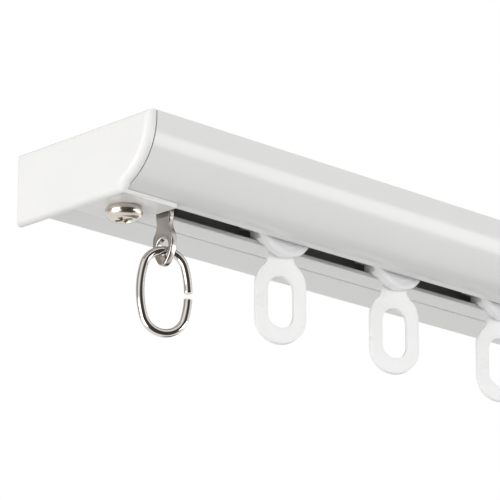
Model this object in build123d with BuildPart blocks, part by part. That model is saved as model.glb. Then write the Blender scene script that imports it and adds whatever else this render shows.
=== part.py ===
from build123d import *
import math
import os

os.makedirs("parts", exist_ok=True)

# Ceiling curtain track. Millimetres, +Z up, Z = 0 is the face against the ceiling.
# X runs along the track, the room side (rounded front) is -Y.

# Track extrusion
track_length = 400.0
track_depth = 42.5
front_y = -track_depth / 2
back_y = track_depth / 2
wall = 1.2
front_flat = 1.4
front_radius = 14.4
front_wall = 1.0
lip_z = -15.0
lip_thick = 1.0
slot_centre_y = front_y + 15.0
slot_width = 6.2
ridge_y = front_y + 25.1
rear_floor_z = -12.2
corner_round = 0.5
ceiling_hole_radius = 2.25
ceiling_hole_inset = 70.0

# End caps
cap_thick = 2.2
cap_bottom_z = -16.0
cap_arc_angle = 62.0
cap_foot_y = front_y + 9.2
cap_edge_round = 1.6
seam_gap = 0.2
tongue_reach = 14.2
spigot_depth = 7.0
spigot_clearance = 0.35
spigot_lead = 0.8

# Cap screws
screw_inset = 6.0
screw_y = front_y + 16.6
screw_head_radius = 4.0
screw_head_height = 2.8
screw_shoulder_radius = 3.75
screw_shoulder_drop = 1.7
screw_crown_radius = 2.8
screw_radius = 1.95
screw_tip_z = -11.4
recess_arm = 4.6
recess_width = 1.2
recess_depth = 1.7
screw_clearance = 0.35
thread_fit = 0.05

# Ring lug and plain clamp plate, both of strip steel
strip_thick = 1.5
plate_start = 1.2
plate_front = 4.2
plate_back = 6.8
plate_end = 13.4
lug_mid = 16.2
strap_width = 4.3
strap_end_z = -15.9
bend_radius = 0.8
waist_width = 3.9
waist_z = -17.8
eye_half_width = 3.1
eye_middle_z = -21.7
eye_end_radius = 1.9
eye_bottom_z = -27.1
eye_hole_radius = 1.75
eye_hole_top_z = -21.1
eye_hole_bottom_z = -24.9

# End ring
ring_wire_radius = 0.9
ring_wire_sides = 7
ring_hang_gap = 0.42
ring_turn = 25.0
ring_half_width = 5.3
ring_half_height = 9.1
ring_end_radius = 4.7
ring_gap_width = 1.3
ring_gap_drop = 0.6

# Runners
runner_count = 5
runner_first = 50.5
runner_pitch = 36.3
head_length = 15.2
head_width = 9.6
head_thick = 2.6
head_lift = 0.05
guide_length = 21.0
guide_width = 1.6
keel_foot = 7.0
keel_foot_z = -17.6
keel_flare = 0.95
keel_room = 0.4
bowl_depth = 2.0
bowl_radius = 8.2
bowl_bottom_z = -18.2
bowl_edge = 0.7
plate_turn = 25.0
plate_thick = 1.5
neck_width = 5.9
neck_blend = 2.4
eyelet_radius = 5.8
eyelet_bottom_z = -37.5
eyelet_straight = 7.4
hole_radius = 3.05
hole_top_z = -22.3
hole_bottom_z = -34.0

lip_top_z = lip_z + lip_thick
slot_front_y = slot_centre_y - slot_width / 2
slot_rear_y = slot_centre_y + slot_width / 2
arc_centre_y = front_y + front_radius
arc_centre_z = -front_flat
inner_radius = front_radius - front_wall
plate_mid_y = slot_centre_y + (plate_back - plate_front) / 2


def arc_point(radius, z):
    # point of the rounded front, at the given height, as (Y, Z)
    drop = (arc_centre_z - z) / radius
    return (arc_centre_y - radius * math.sqrt(1 - drop * drop), z)


def arc_middle(radius, z_end):
    # point halfway round the front from its top to the given height
    half = math.asin((arc_centre_z - z_end) / radius) / 2
    return (arc_centre_y - radius * math.cos(half), arc_centre_z - radius * math.sin(half))


# Track: one extrusion. Running channel behind the rounded front, open below through
# the slot; hollow box behind the ridge, its floor higher than the lips.
with BuildPart() as track:
    with BuildSketch(Plane.YZ.offset(-track_length / 2)):
        with BuildLine():
            arc_end = arc_point(front_radius, lip_z)
            Line((front_y, 0), (front_y, arc_centre_z))
            ThreePointArc((front_y, arc_centre_z), arc_middle(front_radius, lip_z), arc_end)
            Polyline(
                arc_end,
                (ridge_y, lip_z),
                (ridge_y, rear_floor_z),
                (back_y, rear_floor_z),
                (back_y, 0),
                (front_y, 0),
            )
        make_face()
        outline = vertices().sort_by(Axis.Y)
        fillet(outline[-3:-1] + outline[-1:], corner_round)
        with BuildLine(mode=Mode.PRIVATE) as channel:
            inner_end = arc_point(inner_radius, lip_top_z)
            inner_start = (arc_centre_y - inner_radius, arc_centre_z)
            ThreePointArc(inner_start, arc_middle(inner_radius, lip_top_z), inner_end)
            Polyline(
                inner_end,
                (ridge_y - wall, lip_top_z),
                (ridge_y - wall, -wall),
                (inner_start[0], -wall),
                inner_start,
            )
        make_face(channel.edges(), mode=Mode.SUBTRACT)
        rear_width = back_y - wall - ridge_y
        rear_height = -wall - (rear_floor_z + wall)
        with Locations((ridge_y + rear_width / 2, -wall - rear_height / 2)):
            Rectangle(rear_width, rear_height, mode=Mode.SUBTRACT)
        with Locations((slot_centre_y, lip_z + lip_thick / 2)):
            Rectangle(slot_width, lip_thick * 2, mode=Mode.SUBTRACT)
    extrude(amount=track_length)
    with BuildSketch(Plane.XY):
        with Locations(
            (ceiling_hole_inset - track_length / 2, slot_centre_y),
            (track_length / 2 - ceiling_hole_inset, slot_centre_y),
        ):
            Circle(ceiling_hole_radius)
    extrude(amount=-wall, mode=Mode.SUBTRACT)
    with BuildSketch(Plane.XY.offset(lip_z)):
        with Locations(
            (screw_inset - track_length / 2, screw_y),
            (track_length / 2 - screw_inset, screw_y),
        ):
            Circle(screw_radius + screw_clearance)
    extrude(amount=lip_thick, mode=Mode.SUBTRACT)
track.part.label = "track_profile"
export_step(track.part, "parts/track_profile.step")


def make_cap(side):
    # side is -1 for the end at -X and +1 for the end at +X
    seam_x = side * (track_length / 2 + seam_gap)
    sweep = math.radians(cap_arc_angle)
    foot_top = (
        arc_centre_y - front_radius * math.cos(sweep),
        arc_centre_z - front_radius * math.sin(sweep),
    )
    middle = (
        arc_centre_y - front_radius * math.cos(sweep / 2),
        arc_centre_z - front_radius * math.sin(sweep / 2),
    )
    with BuildPart() as cap:
        with BuildSketch(Plane.YZ.offset(seam_x)):
            with BuildLine():
                Line((front_y, 0), (front_y, arc_centre_z))
                ThreePointArc((front_y, arc_centre_z), middle, foot_top)
                Polyline(
                    foot_top,
                    (cap_foot_y, cap_bottom_z),
                    (back_y, cap_bottom_z),
                    (back_y, 0),
                    (front_y, 0),
                )
            make_face()
        extrude(amount=side * cap_thick)
        outer = cap.faces().sort_by(Axis.X)[-1 if side > 0 else 0]
        fillet(outer.edges(), cap_edge_round)
        with BuildSketch(Plane.XY.offset(lip_z)):
            tongue_depth = ridge_y - cap_foot_y
            tongue_length = tongue_reach + seam_gap
            with Locations((seam_x - side * tongue_length / 2, cap_foot_y + tongue_depth / 2)):
                Rectangle(tongue_length, tongue_depth)
        extrude(amount=cap_bottom_z - lip_z)
        with BuildSketch(Plane.YZ.offset(seam_x)):
            block_y = (ridge_y + back_y - wall) / 2
            block_z = (rear_floor_z + wall - wall) / 2
            with Locations((block_y, block_z)):
                Rectangle(
                    back_y - wall - ridge_y - 2 * spigot_clearance,
                    -rear_floor_z - 2 * wall - 2 * spigot_clearance,
                )
        extrude(amount=-side * spigot_depth)
        nose = cap.faces().filter_by(Axis.X).sort_by(lambda f: abs(f.center().X - (seam_x - side * spigot_depth)))[0]
        chamfer(nose.edges(), spigot_lead)
        with BuildSketch(Plane.XY.offset(cap_bottom_z)):
            with Locations((side * (track_length / 2 - screw_inset), screw_y)):
                Circle(screw_radius + screw_clearance)
        extrude(amount=lip_z - cap_bottom_z, mode=Mode.SUBTRACT)
    return cap.part


for side, name in ((-1, "end_cap_left"), (1, "end_cap_right")):
    cap_part = make_cap(side)
    cap_part.label = name
    export_step(cap_part, f"parts/{name}.step")


def make_screw(side):
    screw_x = side * (track_length / 2 - screw_inset)
    with BuildPart() as screw:
        with BuildSketch(Plane.XZ.offset(-screw_y)):
            with BuildLine():
                base_z = cap_bottom_z
                crown_z = base_z - screw_head_height
                Polyline(
                    (screw_x, screw_tip_z),
                    (screw_x + screw_radius, screw_tip_z),
                    (screw_x + screw_radius, base_z),
                    (screw_x + screw_head_radius, base_z),
                    (screw_x + screw_shoulder_radius, base_z - screw_shoulder_drop),
                    (screw_x + screw_crown_radius, crown_z),
                    (screw_x, crown_z),
                    (screw_x, screw_tip_z),
                )
            make_face()
        revolve(axis=Axis((screw_x, screw_y, 0), (0, 0, 1)))
        with BuildSketch(Plane.XY.offset(cap_bottom_z - screw_head_height)):
            with Locations((screw_x, screw_y)):
                Rectangle(recess_arm, recess_width, rotation=20)
                Rectangle(recess_width, recess_arm, rotation=20)
        extrude(amount=recess_depth, mode=Mode.SUBTRACT)
    return screw.part


for side, name in ((-1, "cap_screw_left"), (1, "cap_screw_right")):
    screw_part = make_screw(side)
    screw_part.label = name
    export_step(screw_part, f"parts/{name}.step")


# Ring lug: strip steel lying on the lips inside the channel, tapped for the cap screw,
# then bent down through the slot, waisted and flared to an eye.
eye_drop = eye_middle_z - eye_bottom_z - eye_end_radius
eye_taper = eye_half_width - eye_end_radius
eye_side_radius = (eye_drop**2 + eye_half_width**2 - eye_end_radius**2) / (2 * eye_taper)
eye_side_turn = math.degrees(math.atan2(eye_drop, eye_side_radius - eye_half_width))
lug_x = lug_mid - track_length / 2
plate_x0 = plate_start - track_length / 2
hole_x = screw_inset - track_length / 2
with BuildPart() as lug:
    with BuildSketch(Plane.XZ.offset(-slot_centre_y)):
        with BuildLine():
            face = lug_x + strip_thick / 2
            plate_top = lip_top_z + strip_thick
            outer = bend_radius + strip_thick
            Line((plate_x0, plate_top), (face - outer, plate_top))
            TangentArc((face - outer, plate_top), (face, plate_top - outer), tangent=(1, 0))
            Polyline(
                (face, plate_top - outer),
                (face, strap_end_z),
                (face - strip_thick, strap_end_z),
                (face - strip_thick, lip_top_z - bend_radius),
            )
            TangentArc(
                (face - strip_thick, lip_top_z - bend_radius),
                (face - strip_thick - bend_radius, lip_top_z),
                tangent=(0, 1),
            )
            Polyline(
                (face - strip_thick - bend_radius, lip_top_z),
                (plate_x0, lip_top_z),
                (plate_x0, plate_top),
            )
        make_face()
    extrude(amount=strap_width / 2, both=True)
    with BuildSketch(Plane.XY.offset(lip_top_z)):
        flat_end = lug_x - strip_thick / 2 - bend_radius
        with Locations(((plate_x0 + flat_end) / 2, plate_mid_y)):
            Rectangle(flat_end - plate_x0, plate_front + plate_back)
    extrude(amount=strip_thick)
    with BuildSketch(Plane.YZ.offset(lug_x - strip_thick / 2)):
        with BuildLine():
            left_top = (slot_centre_y - strap_width / 2, strap_end_z)
            left_waist = (slot_centre_y - waist_width / 2, waist_z)
            left_eye = (slot_centre_y - eye_half_width, eye_middle_z)
            right_eye = (slot_centre_y + eye_half_width, eye_middle_z)
            right_waist = (slot_centre_y + waist_width / 2, waist_z)
            right_top = (slot_centre_y + strap_width / 2, strap_end_z)
            Spline(left_top, left_waist, left_eye, tangents=((0, -1), (0, -1)))
            near_side = JernArc(left_eye, (0, -1), eye_side_radius, eye_side_turn)
            tip = JernArc(near_side @ 1, near_side % 1, eye_end_radius, 180 - 2 * eye_side_turn)
            JernArc(tip @ 1, tip % 1, eye_side_radius, eye_side_turn)
            Spline(right_eye, right_waist, right_top, tangents=((0, 1), (0, 1)))
            Line(right_top, left_top)
        make_face()
        oval_top = eye_hole_top_z - eye_hole_radius
        oval_bottom = eye_hole_bottom_z + eye_hole_radius
        with Locations((slot_centre_y, (oval_top + oval_bottom) / 2)):
            SlotCenterToCenter(oval_top - oval_bottom, 2 * eye_hole_radius, rotation=90, mode=Mode.SUBTRACT)
    extrude(amount=strip_thick)
    with BuildSketch(Plane.XY.offset(lip_top_z)):
        with Locations((hole_x, screw_y)):
            Circle(screw_radius + thread_fit)
    extrude(amount=strip_thick, mode=Mode.SUBTRACT)
lug.part.label = "ring_lug"
export_step(lug.part, "parts/ring_lug.step")

# Clamp plate of the other end: the same strip, plain.
with BuildPart() as clamp:
    clamp_x1 = track_length / 2 - plate_start
    clamp_x0 = track_length / 2 - plate_end
    with BuildSketch(Plane.XY.offset(lip_top_z)):
        with Locations(((clamp_x0 + clamp_x1) / 2, plate_mid_y)):
            Rectangle(clamp_x1 - clamp_x0, plate_front + plate_back)
        with Locations((track_length / 2 - screw_inset, screw_y)):
            Circle(screw_radius + thread_fit, mode=Mode.SUBTRACT)
    extrude(amount=strip_thick)
clamp.part.label = "clamp_plate"
export_step(clamp.part, "parts/clamp_plate.step")

# End ring: round wire bent to an oval of four tangent arcs, its ends left a little apart.
# It hangs a little turned in the eye.
ring_top_z = eye_hole_bottom_z + ring_wire_radius + ring_hang_gap
ring_centre_z = ring_top_z - ring_half_height
end_offset = ring_half_height - ring_end_radius
side_excess = ring_half_width - ring_end_radius
ring_side_radius = (end_offset**2 - side_excess**2) / (2 * side_excess) + ring_half_width
side_half = math.degrees(math.asin(end_offset / (ring_side_radius - ring_end_radius)))
gap_top = math.degrees(math.asin((ring_gap_width / 2 - ring_gap_drop) / ring_side_radius))
gap_low = math.degrees(math.asin((ring_gap_width / 2 + ring_gap_drop) / ring_side_radius))
swung = math.radians(ring_turn)
ring_plane = Plane(
    origin=(lug_x, slot_centre_y, 0),
    x_dir=(math.cos(swung), -math.sin(swung), 0),
    z_dir=(-math.sin(swung), -math.cos(swung), 0),
)
with BuildPart() as ring:
    with BuildLine(ring_plane) as ring_path:
        turn = math.radians(gap_top)
        side_x = ring_half_width - ring_side_radius
        start = (
            side_x + ring_side_radius * math.cos(turn),
            ring_centre_z + ring_side_radius * math.sin(turn),
        )
        along = (-math.sin(turn), math.cos(turn))
        first = JernArc(start, along, ring_side_radius, side_half - gap_top)
        top = JernArc(first @ 1, first % 1, ring_end_radius, 180 - 2 * side_half)
        far = JernArc(top @ 1, top % 1, ring_side_radius, 2 * side_half)
        bottom = JernArc(far @ 1, far % 1, ring_end_radius, 180 - 2 * side_half)
        JernArc(bottom @ 1, bottom % 1, ring_side_radius, side_half - gap_low)
    with BuildSketch(Plane(ring_path.line @ 0, x_dir=ring_plane.z_dir, z_dir=ring_path.line % 0)):
        RegularPolygon(ring_wire_radius, ring_wire_sides)
    sweep(path=ring_path.line)
ring.part.label = "end_ring"
export_step(ring.part, "parts/end_ring.step")


def make_runner(x):
    # one moulding: head on the lips, keel through the slot, bowl in front of it, and below
    # them an eyelet that is turned a little towards the room
    head_z = lip_top_z + head_lift
    bowl_front_y = slot_front_y + keel_room
    bowl_back_y = bowl_front_y + bowl_depth
    keel_back_y = slot_rear_y - keel_room
    keel_half = keel_foot / 2
    eyelet_low = eyelet_bottom_z + eyelet_radius
    eyelet_high = eyelet_low + eyelet_straight
    turn = math.radians(plate_turn)
    turned = Plane(
        origin=(x, slot_centre_y, 0),
        x_dir=(math.cos(turn), -math.sin(turn), 0),
        z_dir=(-math.sin(turn), -math.cos(turn), 0),
    )
    with BuildPart() as runner:
        with BuildSketch(Plane.XZ.offset(-bowl_back_y)):
            with Locations((x, bowl_bottom_z + bowl_radius)):
                Circle(bowl_radius)
            with Locations((x, head_z + bowl_radius)):
                Rectangle(3 * bowl_radius, 2 * bowl_radius, mode=Mode.SUBTRACT)
        extrude(amount=bowl_depth)
        rim = runner.edges().filter_by(GeomType.CIRCLE).sort_by(Axis.Y)[0]
        chamfer(rim, bowl_edge)
        with BuildSketch(Plane.XY.offset(head_z)):
            with Locations((x, slot_centre_y)):
                Rectangle(head_length, head_width)
                Rectangle(guide_length, guide_width)
        extrude(amount=head_thick)
        with BuildSketch(Plane.XZ.offset(-bowl_back_y)):
            with BuildLine():
                Polyline(
                    (x - keel_half - keel_flare, head_z),
                    (x - keel_half, head_z - keel_flare),
                    (x - keel_half, keel_foot_z),
                    (x + keel_half, keel_foot_z),
                    (x + keel_half, head_z - keel_flare),
                    (x + keel_half + keel_flare, head_z),
                    close=True,
                )
            make_face()
        extrude(amount=bowl_back_y - keel_back_y)
        with BuildSketch(turned):
            with Locations((0, (eyelet_low + eyelet_high) / 2)):
                SlotCenterToCenter(eyelet_straight, 2 * eyelet_radius, rotation=90)
            with Locations((0, (head_z + eyelet_high) / 2)):
                Rectangle(neck_width, head_z - eyelet_high)
            shoulders = vertices().filter_by(lambda v: eyelet_high < v.Z < keel_foot_z)
            fillet(shoulders, neck_blend)
            with Locations((0, (hole_top_z + hole_bottom_z) / 2)):
                oval = hole_top_z - hole_bottom_z - 2 * hole_radius
                SlotCenterToCenter(oval, 2 * hole_radius, rotation=90, mode=Mode.SUBTRACT)
        extrude(amount=plate_thick / 2, both=True)
    return runner.part


for index in range(runner_count):
    runner_x = runner_first + index * runner_pitch - track_length / 2
    runner_part = make_runner(runner_x)
    runner_part.label = f"runner_{index + 1}"
    export_step(runner_part, f"parts/runner_{index + 1}.step")
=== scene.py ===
import math

import bmesh
import bpy
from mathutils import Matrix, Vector


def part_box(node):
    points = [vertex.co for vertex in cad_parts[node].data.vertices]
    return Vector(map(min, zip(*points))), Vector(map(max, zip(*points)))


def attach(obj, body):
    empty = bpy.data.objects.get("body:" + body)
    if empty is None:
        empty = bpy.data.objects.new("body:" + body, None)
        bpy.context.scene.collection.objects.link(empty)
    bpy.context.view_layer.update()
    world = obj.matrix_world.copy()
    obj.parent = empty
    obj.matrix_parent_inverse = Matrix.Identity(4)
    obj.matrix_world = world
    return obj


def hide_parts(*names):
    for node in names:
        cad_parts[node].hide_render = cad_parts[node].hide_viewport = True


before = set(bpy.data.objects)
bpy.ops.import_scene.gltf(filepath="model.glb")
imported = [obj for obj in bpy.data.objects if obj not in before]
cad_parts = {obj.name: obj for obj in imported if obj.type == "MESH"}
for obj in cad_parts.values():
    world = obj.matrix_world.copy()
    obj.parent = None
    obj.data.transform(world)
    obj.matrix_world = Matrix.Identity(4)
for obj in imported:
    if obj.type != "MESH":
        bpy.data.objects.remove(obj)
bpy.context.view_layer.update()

# Track: one length of aluminium pressed through a die and powder coated gloss white.
# Two screws through its top wall hold it to the ceiling. Behind the rounded front is the
# running channel with its slot, and behind the ridge a hollow box that stiffens it.
mm = 0.001
track_low, track_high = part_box("track_profile")
front_y, back_y = track_low.y, track_high.y
lip_z = track_low.z
wall = 1.2 * mm
front_wall = 1.0 * mm
lip_thick = 1.0 * mm
front_flat = 1.4 * mm
front_radius = 14.4 * mm
slot_y = front_y + 15.0 * mm
slot_width = 6.2 * mm
ridge_y = front_y + 25.1 * mm
rear_floor_z = -12.2 * mm
groove_front = 0.88 * mm
groove_back = 0.5 * mm
groove_depth = 0.36 * mm
# The painted shade inside the channel begins this far below the top of the lips.
shade_reach = 0.1 * mm
saw_cut = 0.08 * mm
ceiling_hole_radius = 2.25 * mm
ceiling_hole_inset = 70 * mm
screw_inset = 6.0 * mm
screw_y = front_y + 16.6 * mm
screw_hole_radius = 2.3 * mm
cut_past = 1.0 * mm
arc_y = front_y + front_radius
arc_z = -front_flat
lip_top_z = lip_z + lip_thick


def begin_outline(name, start):
    """A new piece that is so far a single point, from which its outline is drawn."""
    bpy.ops.object.select_all(action="DESELECT")
    bpy.ops.mesh.primitive_plane_add(size=mm, location=start)
    piece = bpy.context.object
    piece.name = name
    piece.data.name = name
    bpy.ops.object.transform_apply(location=True, rotation=True, scale=True)
    bpy.ops.object.mode_set(mode="EDIT")
    bpy.ops.mesh.select_mode(type="VERT")
    bpy.ops.mesh.select_all(action="SELECT")
    bpy.ops.mesh.merge(type="CENTER")
    return piece


def draw_corners(*corners):
    """Extrudes the free end of an outline from one corner to the next."""
    for here, there in zip(corners, corners[1:]):
        step = Vector(there) - Vector(here)
        bpy.ops.mesh.extrude_region_move(TRANSFORM_OT_translate={"value": step})


def fill_and_extrude(depth):
    """Closes an outline, fills it and pulls the face out into a solid."""
    bpy.ops.mesh.select_all(action="SELECT")
    bpy.ops.mesh.remove_doubles(threshold=0.001 * mm)
    bpy.ops.mesh.edge_face_add()
    bpy.ops.mesh.extrude_region_move(TRANSFORM_OT_translate={"value": depth})
    bpy.ops.mesh.select_all(action="SELECT")
    bpy.ops.mesh.normals_make_consistent(inside=False)
    bpy.ops.object.mode_set(mode="OBJECT")


def add_block(name, low, high):
    """A block between two corners, with its place in its mesh."""
    low, high = Vector(low), Vector(high)
    bpy.ops.object.select_all(action="DESELECT")
    bpy.ops.mesh.primitive_cube_add(size=1, location=(low + high) / 2, scale=high - low)
    bpy.ops.object.transform_apply(location=True, rotation=True, scale=True)
    bpy.context.object.name = name
    return bpy.context.object


def add_drill(name, radius, low, high):
    """An upright round tool between two points of its axis."""
    low, high = Vector(low), Vector(high)
    bpy.ops.object.select_all(action="DESELECT")
    bpy.ops.mesh.primitive_cylinder_add(
        vertices=48, radius=radius, depth=high.z - low.z, location=(low + high) / 2
    )
    bpy.ops.object.transform_apply(location=True, rotation=True, scale=True)
    bpy.context.object.name = name
    return bpy.context.object


def carve(piece, tool, operation="DIFFERENCE"):
    """Cuts a tool shape out of a piece, or joins it on, and puts the tool away."""
    bpy.ops.object.select_all(action="DESELECT")
    bpy.context.view_layer.objects.active = piece
    change = piece.modifiers.new(operation.title(), "BOOLEAN")
    change.operation = operation
    change.solver = "EXACT"
    change.object = tool
    bpy.ops.object.modifier_apply(modifier=change.name)
    bpy.data.objects.remove(tool)


def break_edges(piece, width, segments, sharper_than):
    """Rounds the sharp edges of a piece a little and shades the rest smooth."""
    bpy.ops.object.select_all(action="DESELECT")
    piece.select_set(True)
    bpy.context.view_layer.objects.active = piece
    bevel = piece.modifiers.new("Broken edges", "BEVEL")
    bevel.width = width
    bevel.segments = segments
    bevel.limit_method = "ANGLE"
    bevel.angle_limit = math.radians(sharper_than)
    bpy.ops.object.modifier_apply(modifier=bevel.name)
    bpy.ops.object.shade_smooth_by_angle(angle=math.radians(32))
    weigh = piece.modifiers.new("Flat faces stay flat", "WEIGHTED_NORMAL")
    weigh.keep_sharp = True
    bpy.ops.object.modifier_apply(modifier=weigh.name)


arc_turn = math.asin((arc_z - lip_z) / front_radius)
arc_end = (track_low.x, arc_y - front_radius * math.cos(arc_turn), lip_z)
top_front = (track_low.x, front_y, track_high.z)
arc_start = (track_low.x, front_y, arc_z)
track = begin_outline("track_extrusion", top_front)
draw_corners(top_front, arc_start)
bpy.ops.mesh.spin(steps=48, angle=arc_turn, center=(track_low.x, arc_y, arc_z), axis=(-1, 0, 0))
draw_corners(
    arc_end,
    (track_low.x, ridge_y, lip_z),
    (track_low.x, ridge_y, rear_floor_z),
    (track_low.x, back_y, rear_floor_z),
    (track_low.x, back_y, track_high.z),
    top_front,
)
fill_and_extrude((track_high.x - track_low.x, 0, 0))

inner_radius = front_radius - front_wall
inner_turn = math.asin((arc_z - lip_top_z) / inner_radius)
tool_x = track_low.x - cut_past
inner_end = (tool_x, arc_y - inner_radius * math.cos(inner_turn), lip_top_z)
inner_top = (tool_x, arc_y - inner_radius, -wall)
inner_start = (tool_x, arc_y - inner_radius, arc_z)
channel_tool = begin_outline("channel_tool", inner_top)
draw_corners(inner_top, inner_start)
bpy.ops.mesh.spin(steps=48, angle=inner_turn, center=(tool_x, arc_y, arc_z), axis=(-1, 0, 0))
draw_corners(
    inner_end,
    (tool_x, ridge_y - wall, lip_top_z),
    (tool_x, ridge_y - wall, -wall),
    inner_top,
)
fill_and_extrude((track_high.x - track_low.x + 2 * cut_past, 0, 0))
carve(track, channel_tool)

rear_tool = add_block(
    "rear_tool",
    (tool_x, ridge_y, rear_floor_z + wall),
    (track_high.x + cut_past, back_y - wall, -wall),
)
carve(track, rear_tool)
slot_tool = add_block(
    "slot_tool",
    (tool_x, slot_y - slot_width / 2, lip_z - cut_past),
    (track_high.x + cut_past, slot_y + slot_width / 2, lip_top_z + cut_past),
)
carve(track, slot_tool)
groove_tool = add_block(
    "groove_tool",
    (tool_x, ridge_y - groove_front, lip_z - cut_past),
    (track_high.x + cut_past, ridge_y - groove_back, lip_z + groove_depth),
)
carve(track, groove_tool)
for hole_x in (track_low.x + ceiling_hole_inset, track_high.x - ceiling_hole_inset):
    ceiling_drill = add_drill(
        "ceiling_drill",
        ceiling_hole_radius,
        (hole_x, slot_y, -wall - cut_past),
        (hole_x, slot_y, cut_past),
    )
    carve(track, ceiling_drill)
for hole_x in (track_low.x + screw_inset, track_high.x - screw_inset):
    notch_drill = add_drill(
        "notch_drill",
        screw_hole_radius,
        (hole_x, screw_y, lip_z - cut_past),
        (hole_x, screw_y, lip_top_z + cut_past),
    )
    carve(track, notch_drill)
break_edges(track, width=0.16 * mm, segments=3, sharper_than=40)


def make_unevenness_group():
    """Slow and fine unevenness of a factory finish, stretched along a direction if asked."""
    group = bpy.data.node_groups.new("Finish Unevenness", "ShaderNodeTree")
    stretch = group.interface.new_socket("Stretch", in_out="INPUT", socket_type="NodeSocketVector")
    stretch.default_value = (1, 1, 1)
    group.interface.new_socket("Tone Scale", in_out="INPUT", socket_type="NodeSocketFloat")
    group.interface.new_socket("Grain Scale", in_out="INPUT", socket_type="NodeSocketFloat")
    group.interface.new_socket("Tone", in_out="OUTPUT", socket_type="NodeSocketFloat")
    group.interface.new_socket("Grain", in_out="OUTPUT", socket_type="NodeSocketFloat")
    given = group.nodes.new("NodeGroupInput")
    result = group.nodes.new("NodeGroupOutput")
    place = group.nodes.new("ShaderNodeTexCoord")
    drawn = group.nodes.new("ShaderNodeVectorMath")
    drawn.operation = "MULTIPLY"
    slow = group.nodes.new("ShaderNodeTexNoise")
    slow.inputs["Detail"].default_value = 4
    slow.inputs["Roughness"].default_value = 0.55
    spread = group.nodes.new("ShaderNodeMapRange")
    spread.inputs["From Min"].default_value = 0.3
    spread.inputs["From Max"].default_value = 0.7
    fine = group.nodes.new("ShaderNodeTexNoise")
    fine.inputs["Detail"].default_value = 2
    join = group.links.new
    join(place.outputs["Object"], drawn.inputs[0])
    join(given.outputs["Stretch"], drawn.inputs[1])
    join(drawn.outputs["Vector"], slow.inputs["Vector"])
    join(drawn.outputs["Vector"], fine.inputs["Vector"])
    join(given.outputs["Tone Scale"], slow.inputs["Scale"])
    join(given.outputs["Grain Scale"], fine.inputs["Scale"])
    join(slow.outputs["Fac"], spread.inputs["Value"])
    join(spread.outputs["Result"], result.inputs["Tone"])
    join(fine.outputs["Fac"], result.inputs["Grain"])
    return group


unevenness = make_unevenness_group()


def make_finish(
    name, darker, lighter, glossier, duller, tone_scale, grain_scale, grain_depth, stretch=(1, 1, 1)
):
    """A finish whose colour and gloss wander between two values over a fine grain."""
    material = bpy.data.materials.new(name)
    material.use_nodes = True
    nodes, join = material.node_tree.nodes, material.node_tree.links.new
    shader = nodes["Principled BSDF"]
    uneven = nodes.new("ShaderNodeGroup")
    uneven.node_tree = unevenness
    uneven.inputs["Stretch"].default_value = stretch
    uneven.inputs["Tone Scale"].default_value = tone_scale
    uneven.inputs["Grain Scale"].default_value = grain_scale
    tint = nodes.new("ShaderNodeMix")
    tint.data_type = "RGBA"
    tint.inputs["A"].default_value = (*darker, 1)
    tint.inputs["B"].default_value = (*lighter, 1)
    gloss = nodes.new("ShaderNodeMapRange")
    gloss.inputs["To Min"].default_value = glossier
    gloss.inputs["To Max"].default_value = duller
    bump = nodes.new("ShaderNodeBump")
    bump.inputs["Strength"].default_value = 0.5
    bump.inputs["Distance"].default_value = grain_depth
    join(uneven.outputs["Tone"], tint.inputs["Factor"])
    join(uneven.outputs["Tone"], gloss.inputs["Value"])
    join(uneven.outputs["Grain"], bump.inputs["Height"])
    join(tint.outputs["Result"], shader.inputs["Base Color"])
    join(gloss.outputs["Result"], shader.inputs["Roughness"])
    join(bump.outputs["Normal"], shader.inputs["Normal"])
    return material, shader


track_paint, shader = make_finish(
    "Gloss white powder coat",
    darker=(0.815, 0.812, 0.800),
    lighter=(0.835, 0.833, 0.823),
    glossier=0.16,
    duller=0.20,
    tone_scale=30,
    grain_scale=700,
    grain_depth=0.004 * mm,
)
shader.inputs["IOR"].default_value = 1.5


def make_channel_shade_and_sawn_ends_group():
    """Marks painted shade over the inside of the channel, and the sawn ends, which are bare metal."""
    group = bpy.data.node_groups.new("Channel Shade And Sawn Ends", "ShaderNodeTree")
    group.interface.new_socket("Shade Or Sawn", in_out="OUTPUT", socket_type="NodeSocketFloat")
    result = group.nodes.new("NodeGroupOutput")
    place = group.nodes.new("ShaderNodeTexCoord")
    axes = group.nodes.new("ShaderNodeSeparateXYZ")
    join = group.links.new
    join(place.outputs["Object"], axes.inputs["Vector"])

    def compute(operation, first, second):
        node = group.nodes.new("ShaderNodeMath")
        node.operation = operation
        for socket, value in zip(node.inputs, (first, second)):
            if isinstance(value, float):
                socket.default_value = value
            else:
                join(value, socket)
        return node.outputs["Value"]

    x, y, z = axes.outputs["X"], axes.outputs["Y"], axes.outputs["Z"]
    before_arc = compute("MAXIMUM", compute("SUBTRACT", arc_y, y), 0.0)
    below_arc = compute("SUBTRACT", z, arc_z)
    reach = compute("ADD", compute("POWER", before_arc, 2.0), compute("POWER", below_arc, 2.0))
    behind_front = compute("LESS_THAN", reach, (front_radius - front_wall / 2) ** 2)
    above_lips = compute("GREATER_THAN", z, lip_top_z - shade_reach)
    below_top = compute("LESS_THAN", z, -wall / 2)
    before_ridge = compute("LESS_THAN", y, ridge_y - wall / 2)
    channel = compute("MULTIPLY", behind_front, above_lips)
    channel = compute("MULTIPLY", channel, compute("MULTIPLY", below_top, before_ridge))
    sawn = compute("GREATER_THAN", compute("ABSOLUTE", x, 0.0), track_high.x - saw_cut)
    join(compute("MAXIMUM", channel, sawn), result.inputs["Shade Or Sawn"])
    return group


# The channel's inside is mixed to a dark grey, which is painted shade. The sawn ends take the same grey
# as bare metal.
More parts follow.
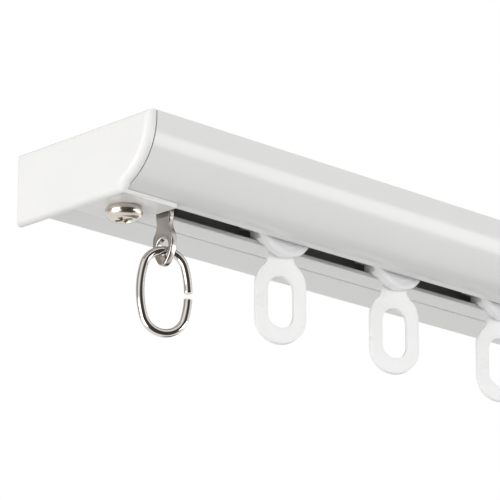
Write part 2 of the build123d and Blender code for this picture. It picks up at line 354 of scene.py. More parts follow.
nodes, join = track_paint.node_tree.nodes, track_paint.node_tree.links.new
coat = shader.inputs["Base Color"].links[0].from_node
shade_or_sawn = nodes.new("ShaderNodeGroup")
shade_or_sawn.node_tree = make_channel_shade_and_sawn_ends_group()
shaded_or_bare = nodes.new("ShaderNodeMix")
shaded_or_bare.data_type = "RGBA"
shaded_or_bare.inputs["B"].default_value = (0.42, 0.42, 0.41, 1)
join(shade_or_sawn.outputs["Shade Or Sawn"], shaded_or_bare.inputs["Factor"])
join(coat.outputs["Result"], shaded_or_bare.inputs["A"])
join(shaded_or_bare.outputs["Result"], shader.inputs["Base Color"])
track.data.materials.append(track_paint)
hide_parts("track_profile")
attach(track, "track")

# End caps: white moulded plastic with a soft outer edge. Each has a block that plugs the
# rear box and a tongue that lies under the lips, where one screw holds it.
cap_low, cap_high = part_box("end_cap_left")
cap_thick = 2.2 * mm
cap_edge_round = 1.6 * mm
cap_arc_turn = math.radians(62)
cap_foot_y = front_y + 9.2 * mm
tongue_end_x = track_low.x + 14.2 * mm
spigot_depth = 7.0 * mm
spigot_clearance = 0.35 * mm
spigot_lead = 0.8 * mm
fused = 0.4 * mm
seam_x = cap_low.x + cap_thick


def pick(kind, test):
    """Selects the vertices, edges or faces that pass a test, in edit mode."""
    bpy.ops.mesh.select_mode(type=kind)
    bpy.ops.mesh.select_all(action="DESELECT")
    shape = bmesh.from_edit_mesh(bpy.context.edit_object.data)
    parts = {"VERT": shape.verts, "EDGE": shape.edges, "FACE": shape.faces}[kind]
    for part in parts:
        if test(part):
            part.select_set(True)
    bmesh.update_edit_mesh(bpy.context.edit_object.data)


cap_top_front = (seam_x, front_y, cap_high.z)
cap_arc_start = (seam_x, front_y, arc_z)
cap_arc_end = (
    seam_x,
    arc_y - front_radius * math.cos(cap_arc_turn),
    arc_z - front_radius * math.sin(cap_arc_turn),
)
left_cap = begin_outline("left_cap", cap_top_front)
draw_corners(cap_top_front, cap_arc_start)
bpy.ops.mesh.spin(steps=32, angle=cap_arc_turn, center=(seam_x, arc_y, arc_z), axis=(-1, 0, 0))
draw_corners(
    cap_arc_end,
    (seam_x, cap_foot_y, cap_low.z),
    (seam_x, back_y, cap_low.z),
    (seam_x, back_y, cap_high.z),
    cap_top_front,
)
fill_and_extrude((-cap_thick, 0, 0))
bpy.ops.object.mode_set(mode="EDIT")
pick("EDGE", lambda e: all(v.co.x < cap_low.x + 0.01 * mm for v in e.verts))
bpy.ops.mesh.bevel(offset=cap_edge_round, segments=10, profile=0.5, affect="EDGES")
bpy.ops.object.mode_set(mode="OBJECT")

tongue = add_block(
    "tongue", (seam_x - fused, cap_foot_y, cap_low.z), (tongue_end_x, ridge_y, lip_z)
)
carve(left_cap, tongue, "UNION")
spigot = add_block(
    "spigot",
    (seam_x - fused, ridge_y + spigot_clearance, rear_floor_z + wall + spigot_clearance),
    (seam_x + spigot_depth, back_y - wall - spigot_clearance, -wall - spigot_clearance),
)
bpy.ops.object.mode_set(mode="EDIT")
pick("EDGE", lambda e: all(v.co.x > seam_x + spigot_depth - 0.01 * mm for v in e.verts))
bpy.ops.mesh.bevel(offset=spigot_lead, segments=1, affect="EDGES")
bpy.ops.object.mode_set(mode="OBJECT")
carve(left_cap, spigot, "UNION")
cap_drill = add_drill(
    "cap_drill",
    screw_hole_radius,
    (track_low.x + screw_inset, screw_y, cap_low.z - cut_past),
    (track_low.x + screw_inset, screw_y, lip_z + cut_past),
)
carve(left_cap, cap_drill)
break_edges(left_cap, width=0.14 * mm, segments=3, sharper_than=40)

cap_plastic, shader = make_finish(
    "Satin white cap plastic",
    darker=(0.865, 0.862, 0.848),
    lighter=(0.888, 0.885, 0.872),
    glossier=0.20,
    duller=0.27,
    tone_scale=45,
    grain_scale=2600,
    grain_depth=0.003 * mm,
)
shader.inputs["IOR"].default_value = 1.49
shader.inputs["Specular IOR Level"].default_value = 0.3
shader.inputs["Subsurface Weight"].default_value = 0.12
shader.inputs["Subsurface Radius"].default_value = (0.9, 0.8, 0.7)
shader.inputs["Subsurface Scale"].default_value = 1.0 * mm
left_cap.data.materials.append(cap_plastic)
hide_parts("end_cap_left")
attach(left_cap, "track")

bpy.ops.object.select_all(action="DESELECT")
left_cap.select_set(True)
bpy.context.view_layer.objects.active = left_cap
bpy.ops.object.duplicate()
right_cap = bpy.context.object
right_cap.name = "right_cap"
bpy.ops.object.mode_set(mode="EDIT")
bpy.ops.mesh.select_all(action="SELECT")
bpy.ops.transform.resize(value=(-1, 1, 1), center_override=(0, 0, 0))
bpy.ops.mesh.normals_make_consistent(inside=False)
bpy.ops.object.mode_set(mode="OBJECT")
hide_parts("end_cap_right")
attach(right_cap, "track")

# Cap screws: M4 pan heads of bright nickel-plated steel, cold headed with a cross recess.
# Each goes up through the cap's tongue into the strip steel that lies on the lips.
screw_low, screw_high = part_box("cap_screw_left")
screw_x = (screw_low.x + screw_high.x) / 2
head_radius = (screw_high.x - screw_low.x) / 2
head_base_z = cap_low.z
crown_z = screw_low.z
head_seat_radius = 3.45 * mm
head_bulge = 1.1 * mm
crown_radius = 2.0 * mm
shank_radius = 1.95 * mm
recess_arm = 5.2 * mm
recess_width = 1.5 * mm
recess_depth = 1.9 * mm
recess_taper = 0.55
recess_turn = math.radians(20)

bulge_run = head_radius - head_seat_radius
bulge_radius = (head_bulge**2 + bulge_run**2) / (2 * bulge_run)
bulge_turn = math.asin(head_bulge / bulge_radius)
bulge_z = head_base_z - head_bulge
dome_drop = bulge_z - crown_z
dome_run = head_radius - crown_radius
dome_radius = (dome_drop**2 + dome_run**2) / (2 * dome_run)
dome_turn = math.pi / 2 - math.atan2(dome_radius - dome_run, dome_drop)
crown_middle = (screw_x, screw_y, crown_z)
left_screw = begin_outline("left_screw", (screw_x, screw_y, screw_high.z))
draw_corners(
    (screw_x, screw_y, screw_high.z),
    (screw_x + shank_radius, screw_y, screw_high.z),
    (screw_x + shank_radius, screw_y, head_base_z),
    (screw_x + head_seat_radius, screw_y, head_base_z),
)
for turn, radius in ((bulge_turn, bulge_radius), (dome_turn, dome_radius)):
    bpy.ops.mesh.spin(
        steps=12,
        angle=turn,
        center=(screw_x + head_radius - radius, screw_y, bulge_z),
        axis=(0, -1, 0),
    )
draw_corners((screw_x + crown_radius, screw_y, crown_z), crown_middle)
bpy.ops.mesh.select_all(action="SELECT")
bpy.ops.mesh.spin(
    steps=72, angle=2 * math.pi, center=(screw_x, screw_y, 0), axis=(0, 0, 1)
)
bpy.ops.mesh.select_all(action="SELECT")
bpy.ops.mesh.remove_doubles(threshold=0.002 * mm)
bpy.ops.mesh.normals_make_consistent(inside=False)
bpy.ops.object.mode_set(mode="OBJECT")
for arm_turn in (recess_turn, recess_turn + math.pi / 2):
    bpy.ops.object.select_all(action="DESELECT")
    bpy.ops.mesh.primitive_cube_add(
        size=1,
        location=(screw_x, screw_y, crown_z),
        rotation=(0, 0, arm_turn),
        scale=(recess_arm, recess_width, 2 * recess_depth),
    )
    bpy.ops.object.transform_apply(location=True, rotation=True, scale=True)
    recess_tool = bpy.context.object
    bpy.ops.object.mode_set(mode="EDIT")
    pick("FACE", lambda f: f.normal.z > 0.9)
    bpy.ops.transform.resize(value=(recess_taper, recess_taper, 1), center_override=(screw_x, screw_y, 0))
    bpy.ops.object.mode_set(mode="OBJECT")
    carve(left_screw, recess_tool)
break_edges(left_screw, width=0.12 * mm, segments=3, sharper_than=35)

screw_nickel, shader = make_finish(
    "Bright nickel of the screws",
    darker=(0.62, 0.565, 0.50),
    lighter=(0.68, 0.63, 0.57),
    glossier=0.20,
    duller=0.25,
    tone_scale=260,
    grain_scale=4000,
    grain_depth=0.002 * mm,
)
shader.inputs["Metallic"].default_value = 1.0
left_screw.data.materials.append(screw_nickel)
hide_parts("cap_screw_left")
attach(left_screw, "track")

right_screw_x = (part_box("cap_screw_right")[0].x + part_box("cap_screw_right")[1].x) / 2


def copy_along(piece, name, distance):
    """A copy of a piece with its own mesh, moved along the track."""
    bpy.ops.object.select_all(action="DESELECT")
    piece.select_set(True)
    bpy.context.view_layer.objects.active = piece
    bpy.ops.object.duplicate()
    twin = bpy.context.object
    twin.name = name
    twin.data.name = name
    bpy.ops.object.mode_set(mode="EDIT")
    bpy.ops.mesh.select_all(action="SELECT")
    bpy.ops.transform.translate(value=(distance, 0, 0))
    bpy.ops.object.mode_set(mode="OBJECT")
    return twin


right_screw = copy_along(left_screw, "right_screw", right_screw_x - screw_x)
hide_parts("cap_screw_right")
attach(right_screw, "track")

# Ring lug: nickel-plated strip steel. Its flat end lies on the lips and is tapped for the
# cap screw; the rest is bent down through the slot, waisted and stamped out to an eye.
lug_low, lug_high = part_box("ring_lug")
strip_thick = 1.5 * mm
strap_half = 2.15 * mm
strap_end_z = -15.9 * mm
bend_inside = 0.8 * mm
waist_half = 1.95 * mm
waist_z = -17.8 * mm
eye_half = 3.1 * mm
eye_middle_z = -21.7 * mm
eye_end_radius = 1.9 * mm
eye_hole_radius = 1.75 * mm
eye_hole_top_z = -21.1 * mm
eye_hole_bottom_z = -24.9 * mm
thread_room = 0.05 * mm
plate_straight = 0.6 * mm
plate_shoulder = 0.6 * mm
lug_back_x = lug_high.x - strip_thick
plate_top_z = lug_high.z
plate_low_z = plate_top_z - strip_thick

taper = strap_half - waist_half
taper_drop = strap_end_z - waist_z
taper_radius = (taper_drop**2 + taper**2) / (4 * taper)
taper_turn = 2 * math.atan(taper / taper_drop)
flare = eye_half - waist_half
flare_drop = waist_z - eye_middle_z
flare_radius = (flare_drop**2 + flare**2) / (4 * flare)
flare_turn = 2 * math.atan(flare / flare_drop)
eye_drop = eye_middle_z - lug_low.z - eye_end_radius
eye_side_radius = (eye_drop**2 + eye_half**2 - eye_end_radius**2) / (2 * (eye_half - eye_end_radius))
eye_side_turn = math.atan2(eye_drop, eye_side_radius - eye_half)
strap_corner = (lug_back_x, slot_y - strap_half, strap_end_z)
lug = begin_outline("ring_lug_strip", strap_corner)
for steps, turn, centre_y, centre_z, way in (
    (6, taper_turn, slot_y - strap_half + taper_radius, strap_end_z, -1),
    (6, taper_turn, slot_y - waist_half - taper_radius, waist_z, 1),
    (10, flare_turn, slot_y - waist_half - flare_radius, waist_z, 1),
    (10, flare_turn, slot_y - eye_half + flare_radius, eye_middle_z, -1),
    (14, eye_side_turn, slot_y - eye_half + eye_side_radius, eye_middle_z, -1),
    (24, math.pi - 2 * eye_side_turn, slot_y, lug_low.z + eye_end_radius, -1),
    (14, eye_side_turn, slot_y + eye_half - eye_side_radius, eye_middle_z, -1),
    (10, flare_turn, slot_y + eye_half - flare_radius, eye_middle_z, -1),
    (10, flare_turn, slot_y + waist_half + flare_radius, waist_z, 1),
    (6, taper_turn, slot_y + waist_half + taper_radius, waist_z, 1),
    (6, taper_turn, slot_y + strap_half - taper_radius, strap_end_z, -1),
):
    bpy.ops.mesh.spin(steps=steps, angle=turn, center=(lug_back_x, centre_y, centre_z), axis=(way, 0, 0))
draw_corners((lug_back_x, slot_y + strap_half, strap_end_z), strap_corner)
fill_and_extrude((strip_thick, 0, 0))
hole_side = (lug_back_x - cut_past, slot_y - eye_hole_radius, eye_hole_top_z - eye_hole_radius)
hole_foot_z = eye_hole_bottom_z + eye_hole_radius
eye_hole_tool = begin_outline("eye_hole_tool", hole_side)
draw_corners(hole_side, (hole_side[0], hole_side[1], hole_foot_z))
bpy.ops.mesh.spin(steps=20, angle=math.pi, center=(hole_side[0], slot_y, hole_foot_z), axis=(-1, 0, 0))
draw_corners(
    (hole_side[0], slot_y + eye_hole_radius, hole_foot_z),
    (hole_side[0], slot_y + eye_hole_radius, hole_side[2]),
)
bpy.ops.mesh.spin(steps=20, angle=math.pi, center=(hole_side[0], slot_y, hole_side[2]), axis=(-1, 0, 0))
fill_and_extrude((strip_thick + 2 * cut_past, 0, 0))
carve(lug, eye_hole_tool)

bpy.ops.object.select_all(action="DESELECT")
lug.select_set(True)
bpy.context.view_layer.objects.active = lug
bpy.ops.object.mode_set(mode="EDIT")
pick("FACE", lambda f: f.normal.z > 0.9 and f.calc_center_median().z > strap_end_z - 0.01 * mm)
bend_z = plate_low_z - bend_inside
bend_x = lug_back_x - bend_inside
bpy.ops.mesh.extrude_region_move(TRANSFORM_OT_translate={"value": (0, 0, bend_z - strap_end_z)})
bpy.ops.mesh.spin(steps=14, angle=math.pi / 2, center=(bend_x, slot_y, bend_z), axis=(0, 1, 0))
bpy.ops.mesh.extrude_region_move(TRANSFORM_OT_translate={"value": (-plate_straight, 0, 0)})
bpy.ops.mesh.extrude_region_move(TRANSFORM_OT_translate={"value": (-plate_shoulder, 0, 0)})
widening = (lug_high.y - lug_low.y) / (2 * strap_half)
pivot_y = (lug_low.y - (slot_y - strap_half) * widening) / (1 - widening)
bpy.ops.transform.resize(value=(1, widening, 1), center_override=(bend_x, pivot_y, plate_top_z))
bpy.ops.mesh.extrude_region_move(
    TRANSFORM_OT_translate={"value": (lug_low.x - bend_x + plate_straight + plate_shoulder, 0, 0)}
)
bpy.ops.mesh.select_all(action="SELECT")
bpy.ops.mesh.normals_make_consistent(inside=False)
bpy.ops.object.mode_set(mode="OBJECT")
tapping_drill = add_drill(
    "tapping_drill",
    shank_radius + thread_room,
    (screw_x, screw_y, plate_low_z - cut_past),
    (screw_x, screw_y, plate_top_z + cut_past),
)
carve(lug, tapping_drill)
break_edges(lug, width=0.32 * mm, segments=4, sharper_than=40)

lug_nickel, shader = make_finish(
    "Nickel of the ring lug",
    darker=(0.52, 0.482, 0.45),
    lighter=(0.60, 0.56, 0.525),
    glossier=0.18,
    duller=0.27,
    tone_scale=420,
    grain_scale=3000,
    grain_depth=0.004 * mm,
    stretch=(1, 1, 0.25),
)
shader.inputs["Metallic"].default_value = 1.0
lug.data.materials.append(lug_nickel)
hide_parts("ring_lug")
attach(lug, "track")

# Clamp plate: the same strip steel, zinc plated and plain, on the lips at the far end.
# It is the nut of the far cap screw.
clamp_low, clamp_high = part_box("clamp_plate")
clamp = add_block("clamp_strip", clamp_low, clamp_high)
clamp_drill = add_drill(
    "clamp_drill",
    shank_radius + thread_room,
    (right_screw_x, screw_y, clamp_low.z - cut_past),
    (right_screw_x, screw_y, clamp_high.z + cut_past),
)
carve(clamp, clamp_drill)
break_edges(clamp, width=0.14 * mm, segments=3, sharper_than=40)

plate_zinc, shader = make_finish(
    "Zinc of the clamp plate",
    darker=(0.52, 0.53, 0.54),
    lighter=(0.63, 0.64, 0.65),
    glossier=0.28,
    duller=0.42,
    tone_scale=500,
    grain_scale=3000,
    grain_depth=0.004 * mm,
    stretch=(0.25, 1, 1),
)
shader.inputs["Metallic"].default_value = 1.0
clamp.data.materials.append(plate_zinc)
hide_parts("clamp_plate")
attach(clamp, "track")

# End ring: steel wire bent to an open oval and nickel plated. It hangs a little turned in the
# lug's eye and takes the last hook of the curtain, which slips in through the gap.
ring_low, ring_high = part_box("end_ring")
wire_radius = 0.9 * mm
ring_end_radius = 4.7 * mm
half_width = 5.3 * mm
ring_turn = math.radians(25)
gap_width = 1.3 * mm
gap_drop = 0.6 * mm
ring_x = (ring_low.x + ring_high.x) / 2
ring_y = (ring_low.y + ring_high.y) / 2
ring_z = (ring_low.z + ring_high.z) / 2
half_height = (ring_high.z - ring_low.z) / 2 - wire_radius
end_rise = half_height - ring_end_radius
side_swell = half_width - ring_end_radius
side_radius = (end_rise**2 - side_swell**2) / (2 * side_swell) + half_width
side_turn = math.asin(end_rise / (side_radius - ring_end_radius))
end_turn = math.pi - 2 * side_turn
gap_top = math.asin((gap_width / 2 - gap_drop) / side_radius)
gap_low = math.asin((gap_width / 2 + gap_drop) / side_radius)

right_centre = (ring_x + half_width - side_radius, ring_y, ring_z)
left_centre = (ring_x - half_width + side_radius, ring_y, ring_z)
bpy.ops.object.select_all(action="DESELECT")
bpy.ops.mesh.primitive_circle_add(
    vertices=32,
    radius=wire_radius,
    location=(
        right_centre[0] + side_radius * math.cos(gap_top),
        ring_y,
        ring_z + side_radius * math.sin(gap_top),
    ),
    rotation=(0, -gap_top, 0),
)
ring = bpy.context.object
ring.name = "ring_wire"
ring.data.name = "ring_wire"
bpy.ops.object.transform_apply(location=True, rotation=True, scale=True)
bpy.ops.object.mode_set(mode="EDIT")
bpy.ops.mesh.select_all(action="SELECT")
for steps, turn, centre in (
    (10, side_turn - gap_top, right_centre),
    (44, end_turn, (ring_x, ring_y, ring_z + end_rise)),
    (24, 2 * side_turn, left_centre),
    (44, end_turn, (ring_x, ring_y, ring_z - end_rise)),
    (12, side_turn - gap_low, right_centre),
):
    bpy.ops.mesh.spin(steps=steps, angle=turn, center=centre, axis=(0, 1, 0))
bpy.ops.mesh.select_all(action="SELECT")
bpy.ops.mesh.remove_doubles(threshold=0.001 * mm)
bpy.ops.mesh.fill_holes(sides=0)
bpy.ops.mesh.select_all(action="SELECT")
bpy.ops.mesh.normals_make_consistent(inside=False)
bpy.ops.transform.rotate(value=ring_turn, orient_axis="Z", center_override=(ring_x, ring_y, 0))
bpy.ops.object.mode_set(mode="OBJECT")
break_edges(ring, width=0.15 * mm, segments=3, sharper_than=60)

ring_nickel, shader = make_finish(
    "Nickel of the ring",
    darker=(0.66, 0.63, 0.60),
    lighter=(0.71, 0.68, 0.65),
    glossier=0.07,
    duller=0.11,
    tone_scale=350,
    grain_scale=3500,
    grain_depth=0.0008 * mm,
)
shader.inputs["Metallic"].default_value = 1.0
ring.data.materials.append(ring_nickel)
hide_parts("end_ring")
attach(ring, "ring")

# Runners: milky moulded plastic, one piece each, with painted shade greying all above the keel's foot,
# where the track shades it. A cross-shaped head slides on the lips inside the channel, a keel with a
# sloped foot and a stepped bowl in front passes the slot, and the eyelet for the curtain hook is turned a
# little towards the room.
runner_low, runner_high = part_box("runner_1")
runner_x = (runner_low.x + runner_high.x) / 2
head_thick = 2.6 * mm
runner_head_z = runner_high.z - head_thick
head_half = 7.6 * mm
guide_half = 0.8 * mm
head_relief = 2.1 * mm
keel_foot_half = 3.5 * mm
keel_foot_z = -17.6 * mm
keel_flare = 0.95 * mm
keel_slope_rise = 3.2 * mm
keel_slope_run = 3.4 * mm
keel_room = 0.4 * mm
keel_back_y = slot_y + slot_width / 2 - keel_room
bowl_front_y = slot_y - slot_width / 2 + keel_room
bowl_back_y = bowl_front_y + 2.0 * mm
bowl_radius = 8.2 * mm
bowl_bottom_z = -18.2 * mm
bowl_edge = 0.7 * mm
bowl_step = 0.12 * mm
bowl_step_slope = 0.15 * mm
lower_step_rise = 1.3 * mm
upper_step_rise = 2.5 * mm
shade_fade = 1.2 * mm
plate_turn = math.radians(25)
plate_half = 0.75 * mm
neck_half = 2.95 * mm
neck_blend = 2.4 * mm
eyelet_radius = 5.8 * mm
eyelet_straight = 7.4 * mm
hook_hole_radius = 3.05 * mm
hook_hole_top_z = -22.3 * mm
hook_hole_bottom_z = -34.0 * mm
eyelet_low_z = runner_low.z + eyelet_radius
eyelet_high_z = eyelet_low_z + eyelet_straight

guide_tip = (runner_low.x, slot_y - guide_half, runner_head_z)
runner = begin_outline("runner", guide_tip)
draw_corners(
    guide_tip,
    (runner_x - head_half, slot_y - guide_half, runner_head_z),
    (runner_x - head_half, runner_low.y, runner_head_z),
    (runner_x + head_half, runner_low.y, runner_head_z),
    (runner_x + head_half, slot_y - guide_half, runner_head_z),
    (runner_high.x, slot_y - guide_half, runner_head_z),
    (runner_high.x, slot_y + guide_half, runner_head_z),
    (runner_x + head_half, slot_y + guide_half, runner_head_z),
    (runner_x + head_half, runner_high.y, runner_head_z),
    (runner_x - head_half, runner_high.y, runner_head_z),
    (runner_x - head_half, slot_y + guide_half, runner_head_z),
    (runner_low.x, slot_y + guide_half, runner_head_z),
    guide_tip,
)
fill_and_extrude((0, 0, runner_high.z - runner_head_z))
for near, far in ((runner_low.x - cut_past, -1), (runner_high.x + cut_past, 1)):
    relief_end = runner_x + far * (keel_foot_half + keel_flare)
    relief_tool = add_block(
        "relief_tool",
        (min(near, relief_end), slot_y - slot_width / 2, runner_head_z - cut_past),
        (max(near, relief_end), runner_high.y + cut_past, runner_head_z + head_relief),
    )
    carve(runner, relief_tool)

blend_reach = eyelet_radius + neck_blend
blend_turn = math.acos((neck_half + neck_blend) / blend_reach)
blend_z = eyelet_high_z + blend_reach * math.sin(blend_turn)
plate_y = slot_y - plate_half
plate_top = (runner_x - neck_half, plate_y, runner_head_z + fused)
plate = begin_outline("eyelet_plate", plate_top)
draw_corners(plate_top, (runner_x - neck_half, plate_y, blend_z))
bpy.ops.mesh.spin(
    steps=12,
    angle=blend_turn,
    center=(runner_x - neck_half - neck_blend, plate_y, blend_z),
    axis=(0, -1, 0),
)
bpy.ops.mesh.spin(
    steps=14, angle=blend_turn, center=(runner_x, plate_y, eyelet_high_z), axis=(0, 1, 0)
)
draw_corners(
    (runner_x - eyelet_radius, plate_y, eyelet_high_z),
    (runner_x - eyelet_radius, plate_y, eyelet_low_z),
)
bpy.ops.mesh.spin(steps=48, angle=math.pi, center=(runner_x, plate_y, eyelet_low_z), axis=(0, 1, 0))
draw_corners(
    (runner_x + eyelet_radius, plate_y, eyelet_low_z),
    (runner_x + eyelet_radius, plate_y, eyelet_high_z),
)
bpy.ops.mesh.spin(
    steps=14, angle=blend_turn, center=(runner_x, plate_y, eyelet_high_z), axis=(0, 1, 0)
)
bpy.ops.mesh.spin(
    steps=12,
    angle=blend_turn,
    center=(runner_x + neck_half + neck_blend, plate_y, blend_z),
    axis=(0, -1, 0),
)
draw_corners(
    (runner_x + neck_half, plate_y, blend_z),
    (runner_x + neck_half, plate_y, runner_head_z + fused),
    plate_top,
)
fill_and_extrude((0, 2 * plate_half, 0))
hook_side = (runner_x - hook_hole_radius, plate_y - cut_past, hook_hole_top_z - hook_hole_radius)
hook_foot_z = hook_hole_bottom_z + hook_hole_radius
hook_tool = begin_outline("hook_tool", hook_side)
draw_corners(hook_side, (hook_side[0], hook_side[1], hook_foot_z))
bpy.ops.mesh.spin(steps=32, angle=math.pi, center=(runner_x, hook_side[1], hook_foot_z), axis=(0, 1, 0))
draw_corners(
    (runner_x + hook_hole_radius, hook_side[1], hook_foot_z),
    (runner_x + hook_hole_radius, hook_side[1], hook_side[2]),
)
bpy.ops.mesh.spin(steps=32, angle=math.pi, center=(runner_x, hook_side[1], hook_side[2]), axis=(0, 1, 0))
fill_and_extrude((0, 2 * plate_half + 2 * cut_past, 0))
carve(plate, hook_tool)
bpy.ops.object.select_all(action="DESELECT")
plate.select_set(True)
bpy.context.view_layer.objects.active = plate
bpy.ops.object.mode_set(mode="EDIT")
bpy.ops.mesh.select_all(action="SELECT")
bpy.ops.transform.rotate(value=plate_turn, orient_axis="Z", center_override=(runner_x, slot_y, 0))
bpy.ops.object.mode_set(mode="OBJECT")
carve(runner, plate, "UNION")

keel_corner = (runner_x - keel_foot_half - keel_flare, bowl_back_y - fused, runner_head_z)
keel = begin_outline("keel", keel_corner)
draw_corners(
    keel_corner,
    (runner_x - keel_foot_half, keel_corner[1], runner_head_z - keel_flare),
    (runner_x - keel_foot_half, keel_corner[1], keel_foot_z),
    (runner_x + keel_foot_half, keel_corner[1], keel_foot_z),
    (runner_x + keel_foot_half, keel_corner[1], runner_head_z - keel_flare),
    (runner_x + keel_foot_half + keel_flare, keel_corner[1], runner_head_z),
    (runner_x + keel_foot_half + keel_flare, keel_corner[1], runner_head_z + fused),
    (runner_x - keel_foot_half - keel_flare, keel_corner[1], runner_head_z + fused),
    keel_corner,
)
fill_and_extrude((0, keel_back_y - keel_corner[1], 0))
bpy.ops.object.mode_set(mode="EDIT")
bpy.ops.mesh.select_all(action="SELECT")
bpy.ops.mesh.bisect(
    plane_co=(runner_x, bowl_back_y, keel_foot_z),
    plane_no=(0, keel_slope_rise / keel_slope_run, -1),
    use_fill=True,
    clear_outer=True,
    threshold=0.001 * mm,
)
bpy.ops.mesh.select_all(action="SELECT")
bpy.ops.mesh.normals_make_consistent(inside=False)
bpy.ops.object.mode_set(mode="OBJECT")
carve(runner, keel, "UNION")

bowl_z = bowl_bottom_z + bowl_radius
bowl_back = (runner_x, bowl_back_y, bowl_z)
bowl = begin_outline("bowl", bowl_back)
draw_corners(
    bowl_back,
    (runner_x, bowl_back_y, bowl_bottom_z),
    (runner_x, bowl_front_y + bowl_edge, bowl_bottom_z),
)
bpy.ops.mesh.spin(
    steps=6,
    angle=math.pi / 2,
    center=(runner_x, bowl_front_y + bowl_edge, bowl_bottom_z + bowl_edge),
    axis=(1, 0, 0),
)
draw_corners(
    (runner_x, bowl_front_y, bowl_bottom_z + bowl_edge),
    (runner_x, bowl_front_y, bowl_bottom_z + lower_step_rise),
    (runner_x, bowl_front_y + bowl_step, bowl_bottom_z + lower_step_rise + bowl_step_slope),
    (runner_x, bowl_front_y + bowl_step, bowl_bottom_z + upper_step_rise),
    (runner_x, bowl_front_y + 2 * bowl_step, bowl_bottom_z + upper_step_rise + bowl_step_slope),
    (runner_x, bowl_front_y + 2 * bowl_step, bowl_z),
)
bpy.ops.mesh.select_all(action="SELECT")
bpy.ops.mesh.spin(steps=96, angle=2 * math.pi, center=(runner_x, 0, bowl_z), axis=(0, 1, 0))
bpy.ops.mesh.select_all(action="SELECT")
bpy.ops.mesh.remove_doubles(threshold=0.002 * mm)
bpy.ops.mesh.normals_make_consistent(inside=False)
bpy.ops.mesh.bisect(
    plane_co=(runner_x, slot_y, runner_head_z + fused),
    plane_no=(0, 0, 1),
    use_fill=True,
    clear_outer=True,
)
bpy.ops.object.mode_set(mode="OBJECT")
carve(runner, bowl, "UNION")
break_edges(runner, width=0.2 * mm, segments=3, sharper_than=40)

runner_plastic, shader = make_finish(
    "Milky runner plastic",
    darker=(0.93, 0.93, 0.928),
    lighter=(0.955, 0.955, 0.953),
    glossier=0.26,
    duller=0.34,
    tone_scale=160,
    grain_scale=2400,
    grain_depth=0.003 * mm,
)
shader.inputs["IOR"].default_value = 1.49
shader.inputs["Subsurface Weight"].default_value = 0.5
shader.inputs["Subsurface Radius"].default_value = (1.0, 0.97, 0.95)
shader.inputs["Subsurface Scale"].default_value = 1.2 * mm
nodes, join = runner_plastic.node_tree.nodes, runner_plastic.node_tree.links.new
milky = shader.inputs["Base Color"].links[0].from_node
# Painted shade: the head, keel and bowl, which the track shades, are mixed to a grey above the keel's
# foot.
where = nodes.new("ShaderNodeTexCoord")
axes = nodes.new("ShaderNodeSeparateXYZ")
shaded_part = nodes.new("ShaderNodeMapRange")
shaded_part.interpolation_type = "SMOOTHSTEP"
shaded_part.inputs["From Min"].default_value = keel_foot_z - shade_fade
shaded_part.inputs["From Max"].default_value = keel_foot_z
painted_shade = nodes.new("ShaderNodeMix")
painted_shade.data_type = "RGBA"
painted_shade.inputs["B"].default_value = (0.80, 0.802, 0.805, 1)
join(where.outputs["Object"], axes.inputs["Vector"])
join(axes.outputs["Z"], shaded_part.inputs["Value"])
join(shaded_part.outputs["Result"], painted_shade.inputs["Factor"])
join(milky.outputs["Result"], painted_shade.inputs["A"])
join(painted_shade.outputs["Result"], shader.inputs["Base Color"])
runner.data.materials.append(runner_plastic)

runner_nodes = sorted(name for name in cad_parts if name.startswith("runner_"))
for node in runner_nodes[1:]:
    twin = copy_along(runner, "eyelet_" + node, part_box(node)[0].x - runner_low.x)
    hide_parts(node)
    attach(twin, node)
runner.name = "eyelet_" + runner_nodes[0]
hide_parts(runner_nodes[0])
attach(runner, runner_nodes[0])

# Floor: a plain pale floor at room height below the ceiling, well under the picture. The part
# gets its light back from below, but doesn't mirror it.
floor_z = -2.4
bpy.ops.object.select_all(action="DESELECT")
bpy.ops.mesh.primitive_plane_add(size=14, location=(0, 0, floor_z))
floor = bpy.context.object
floor.name = "floor"
floor_paint, shader = make_finish(
    "Pale floor",
    darker=(0.74, 0.74, 0.74),
    lighter=(0.79, 0.79, 0.79),
    glossier=0.85,
    duller=0.95,
    tone_scale=1.5,
    grain_scale=60,
    grain_depth=0.2 * mm,
)
floor.data.materials.append(floor_paint)
floor.visible_glossy = False

# Light: a strip softbox that is only mirrored and draws the bright band along the rounded
# front, a large soft window low on the side of the capped end, a front window for the curve
# and an overhead softbox for the top and the back. The last two mirror nowhere.
def add_softbox(name, place, aim, width, height, radiance):
    """A rectangular soft light of a given brightness, turned towards a point."""
    place, aim = Vector(place), Vector(aim)
    lamp = bpy.data.lights.new(name, "AREA")
    lamp.shape = "RECTANGLE"
    lamp.size = width
    lamp.size_y = height
    lamp.energy = radiance * math.pi * width * height
    holder = bpy.data.objects.new(name, lamp)
    bpy.context.scene.collection.objects.link(holder)
    holder.location = place
    holder.rotation_euler = (aim - place).to_track_quat("-Z", "Y").to_euler()
    holder.visible_camera = False
    return holder


lit_reach = 0.07
capped_end = Vector((track_low.x + lit_reach, 0, lip_z))
strip = add_softbox(
    "strip softbox", capped_end + Vector((0.80, -0.83, -0.178)), capped_end, 1.3, 0.34, 3.2
)
strip.visible_diffuse = False
add_softbox("side window", capped_end + Vector((-1.7, 0.1, -0.48)), capped_end, 1.6, 1.6, 2.4)
front_window = add_softbox(
    "front window", capped_end + Vector((-0.1, -1.6, 0.15)), capped_end, 1.4, 0.9, 2.4
)
front_window.visible_glossy = False
overhead = add_softbox(
    "overhead softbox", capped_end + Vector((0.13, 0.8, 1.6)), capped_end, 2.4, 2.4, 0.6
)
overhead.visible_glossy = False

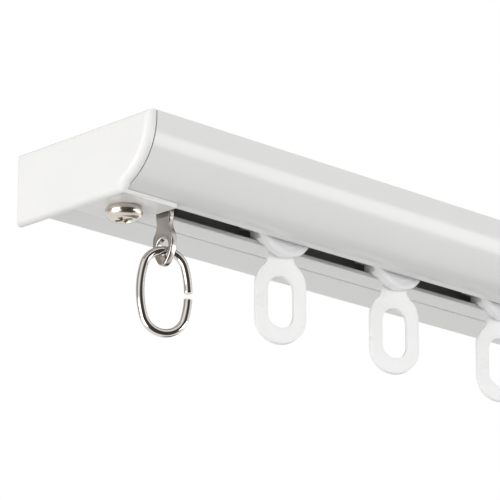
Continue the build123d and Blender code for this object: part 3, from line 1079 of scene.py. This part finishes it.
# Room: white where the camera looks, a soft grey for the light that falls on the part. Metal
# and gloss paint mirror a white room with six duller parts: behind the part on both sides, in
# front of it, behind the camera, low past the far end and low under the camera.
room = bpy.data.worlds.new("White room")
bpy.context.scene.world = room
room.use_nodes = True
nodes, join = room.node_tree.nodes, room.node_tree.links.new
nodes.clear()
direction = nodes.new("ShaderNodeTexCoord")
mirrored = None
for towards, inner, outer, shade in (
    ((-0.66, 0.67, 0.32), 20, 38, (0.38, 0.356, 0.332)),
    ((0.65, 0.67, 0.36), 14, 32, (0.16, 0.145, 0.13)),
    ((-0.15, -0.95, -0.27), 36, 58, (0.06, 0.052, 0.047)),
    ((-0.66, -0.74, -0.10), 16, 31, (0.07, 0.060, 0.054)),
    ((0.66, 0.25, -0.70), 14, 25, (0.05, 0.048, 0.045)),
    ((-0.55, -0.60, -0.58), 22, 36, (0.07, 0.060, 0.054)),
):
    facing = nodes.new("ShaderNodeVectorMath")
    facing.operation = "DOT_PRODUCT"
    facing.inputs[1].default_value = Vector(towards).normalized()
    edge = nodes.new("ShaderNodeMapRange")
    edge.interpolation_type = "SMOOTHSTEP"
    edge.inputs["From Min"].default_value = math.cos(math.radians(outer))
    edge.inputs["From Max"].default_value = math.cos(math.radians(inner))
    wall_tone = nodes.new("ShaderNodeMix")
    wall_tone.data_type = "RGBA"
    wall_tone.inputs["A"].default_value = (1, 1, 1, 1)
    wall_tone.inputs["B"].default_value = (*shade, 1)
    join(direction.outputs["Generated"], facing.inputs[0])
    join(facing.outputs["Value"], edge.inputs["Value"])
    join(edge.outputs["Result"], wall_tone.inputs["Factor"])
    if mirrored:
        join(mirrored.outputs["Result"], wall_tone.inputs["A"])
    mirrored = wall_tone
seen_in_metal = nodes.new("ShaderNodeBackground")
soft_grey = nodes.new("ShaderNodeBackground")
soft_grey.inputs["Color"].default_value = (1, 1, 0.99, 1)
soft_grey.inputs["Strength"].default_value = 0.52
backdrop = nodes.new("ShaderNodeBackground")
backdrop.inputs["Color"].default_value = (1, 1, 1, 1)
light_path = nodes.new("ShaderNodeLightPath")
mirror_ray = nodes.new("ShaderNodeMath")
mirror_ray.operation = "MAXIMUM"
for_metal = nodes.new("ShaderNodeMixShader")
for_camera = nodes.new("ShaderNodeMixShader")
room_output = nodes.new("ShaderNodeOutputWorld")
join(mirrored.outputs["Result"], seen_in_metal.inputs["Color"])
join(light_path.outputs["Is Glossy Ray"], mirror_ray.inputs[0])
join(light_path.outputs["Is Transmission Ray"], mirror_ray.inputs[1])
join(mirror_ray.outputs["Value"], for_metal.inputs["Fac"])
join(soft_grey.outputs["Background"], for_metal.inputs[1])
join(seen_in_metal.outputs["Background"], for_metal.inputs[2])
join(light_path.outputs["Is Camera Ray"], for_camera.inputs["Fac"])
join(for_metal.outputs["Shader"], for_camera.inputs[1])
join(backdrop.outputs["Background"], for_camera.inputs[2])
join(for_camera.outputs["Shader"], room_output.inputs["Surface"])

# Camera: a long lens below and in front of the capped end, level, looking up along the track.
camera_place = Vector((-0.5931, -0.45175, -0.2106))
camera_yaw = math.radians(44.28)
camera_pitch = math.radians(17.19)
lens = bpy.data.cameras.new("camera")
lens.sensor_width = 36
lens.lens = 216
lens.clip_start = 0.01
camera = bpy.data.objects.new("camera", lens)
bpy.context.scene.collection.objects.link(camera)
camera.location = camera_place
camera.rotation_euler = (math.pi / 2 + camera_pitch, 0, -camera_yaw)
bpy.context.scene.camera = camera
bpy.context.scene.view_settings.view_transform = "Standard"
